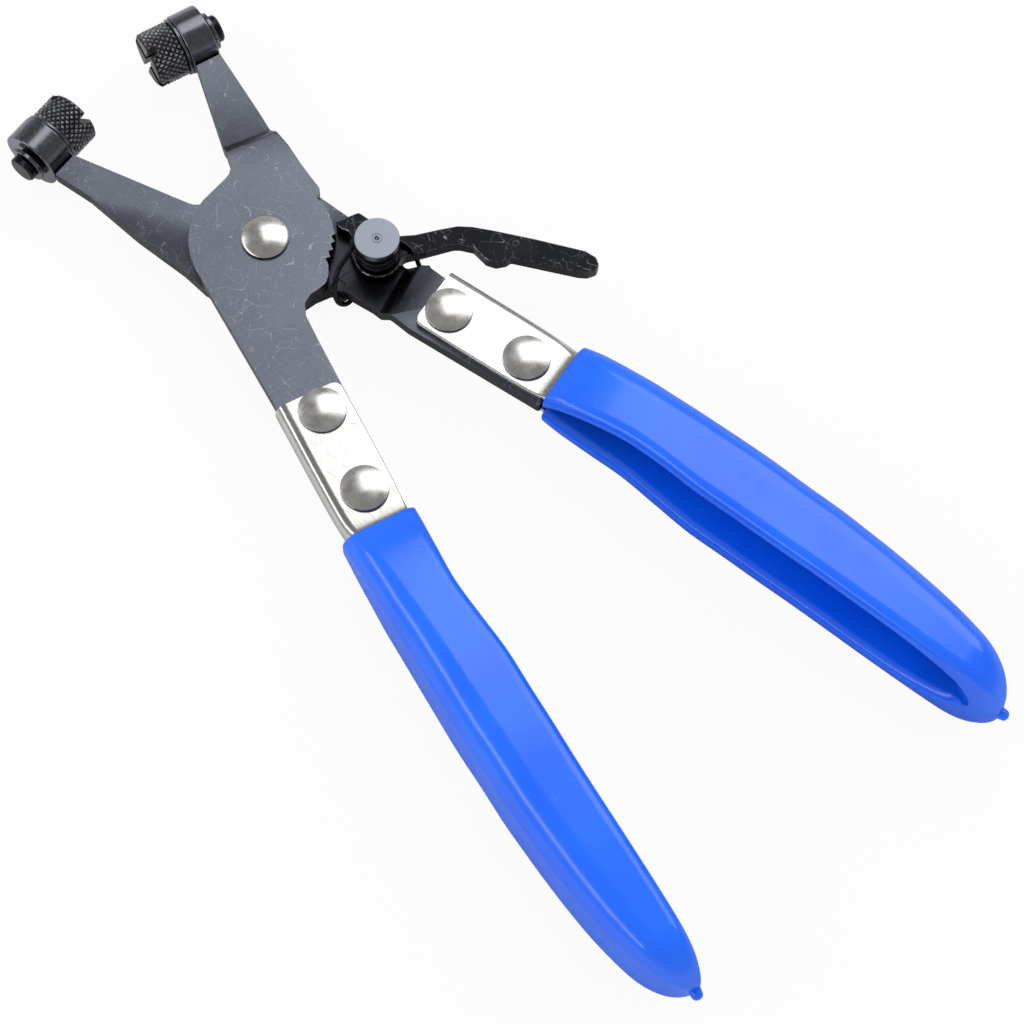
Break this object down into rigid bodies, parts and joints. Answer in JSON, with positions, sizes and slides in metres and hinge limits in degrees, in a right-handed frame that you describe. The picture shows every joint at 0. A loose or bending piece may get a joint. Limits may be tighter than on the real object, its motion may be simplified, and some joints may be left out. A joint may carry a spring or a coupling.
{
  "type": "hose clamp pliers",
  "caption": "Hose clamp pliers with crossed arms, swivelling slotted knurled tips, a sprung ratchet pawl with a thumb lever, pressed steel handles and dipped plastic grips.",
  "frame": {"origin": "middle of the bounding box in plan, on the plane the grips lie on", "axes": "+Y from the grips towards the jaw tips, +Z out of the face with the pawl spring, +X towards the pawl lever's side"},
  "size_m": [0.0916, 0.2232, 0.0246],
  "materials": {
    "blackened_steel": "blackened, lightly scratched",
    "nickel_plate": "bright plated sheet",
    "machined_steel": "turned, semi-bright",
    "spring_wire": "oiled black",
    "tip_steel": "knurled, blackened",
    "blue_grip": "glossy dipped plastic"
  },
  "bodies": {
    "back_half": {"back_plate": "blackened_steel", "main_pivot_rivet": "nickel_plate", "back_channel": "nickel_plate", "back_rivet_1": "nickel_plate", "back_rivet_2": "nickel_plate", "back_grip": "blue_grip", "spring_stud": "blackened_steel", "back_collar": "blackened_steel", "pawl_pin": "machined_steel", "pawl_spring": "spring_wire"},
    "front_half": {"front_plate": "blackened_steel", "front_channel": "nickel_plate", "front_rivet_1": "nickel_plate", "front_rivet_2": "nickel_plate", "front_grip": "blue_grip", "front_collar": "blackened_steel"},
    "pawl": {"ratchet_pawl": "blackened_steel"},
    "front_swivel": {"front_tip": "tip_steel", "front_tip_washer": "tip_steel", "front_tip_clip": "blackened_steel"},
    "back_swivel": {"back_tip": "tip_steel", "back_tip_washer": "tip_steel", "back_tip_clip": "blackened_steel"}
  },
  "joints": [
    {"name": "handle_pivot", "type": "hinge", "parent": "back_half", "child": "front_half", "pos_m": [-0.00073, 0.05617, 0.01065], "axis": [0, 0, 1], "range_deg": [-28, 20.5]},
    {"name": "pawl_pivot", "type": "hinge", "parent": "back_half", "child": "pawl", "pos_m": [0.01347, 0.03839, 0.01065], "axis": [0, 0, 1], "range_deg": [-12, 0], "stiffness_Nm_per_rad": 0.06, "springref_deg": 20.05, "deforming": ["pawl_spring"]},
    {"name": "front_tip_swivel", "type": "hinge", "parent": "front_half", "child": "front_swivel", "pos_m": [0.01922, 0.10377, 0.009], "axis": [-0.9821, 0.1882, 0], "continuous": true},
    {"name": "back_tip_swivel", "type": "hinge", "parent": "back_half", "child": "back_swivel", "pos_m": [-0.02068, 0.10377, 0.009], "axis": [0.9821, 0.1882, 0], "continuous": true}
  ]
}
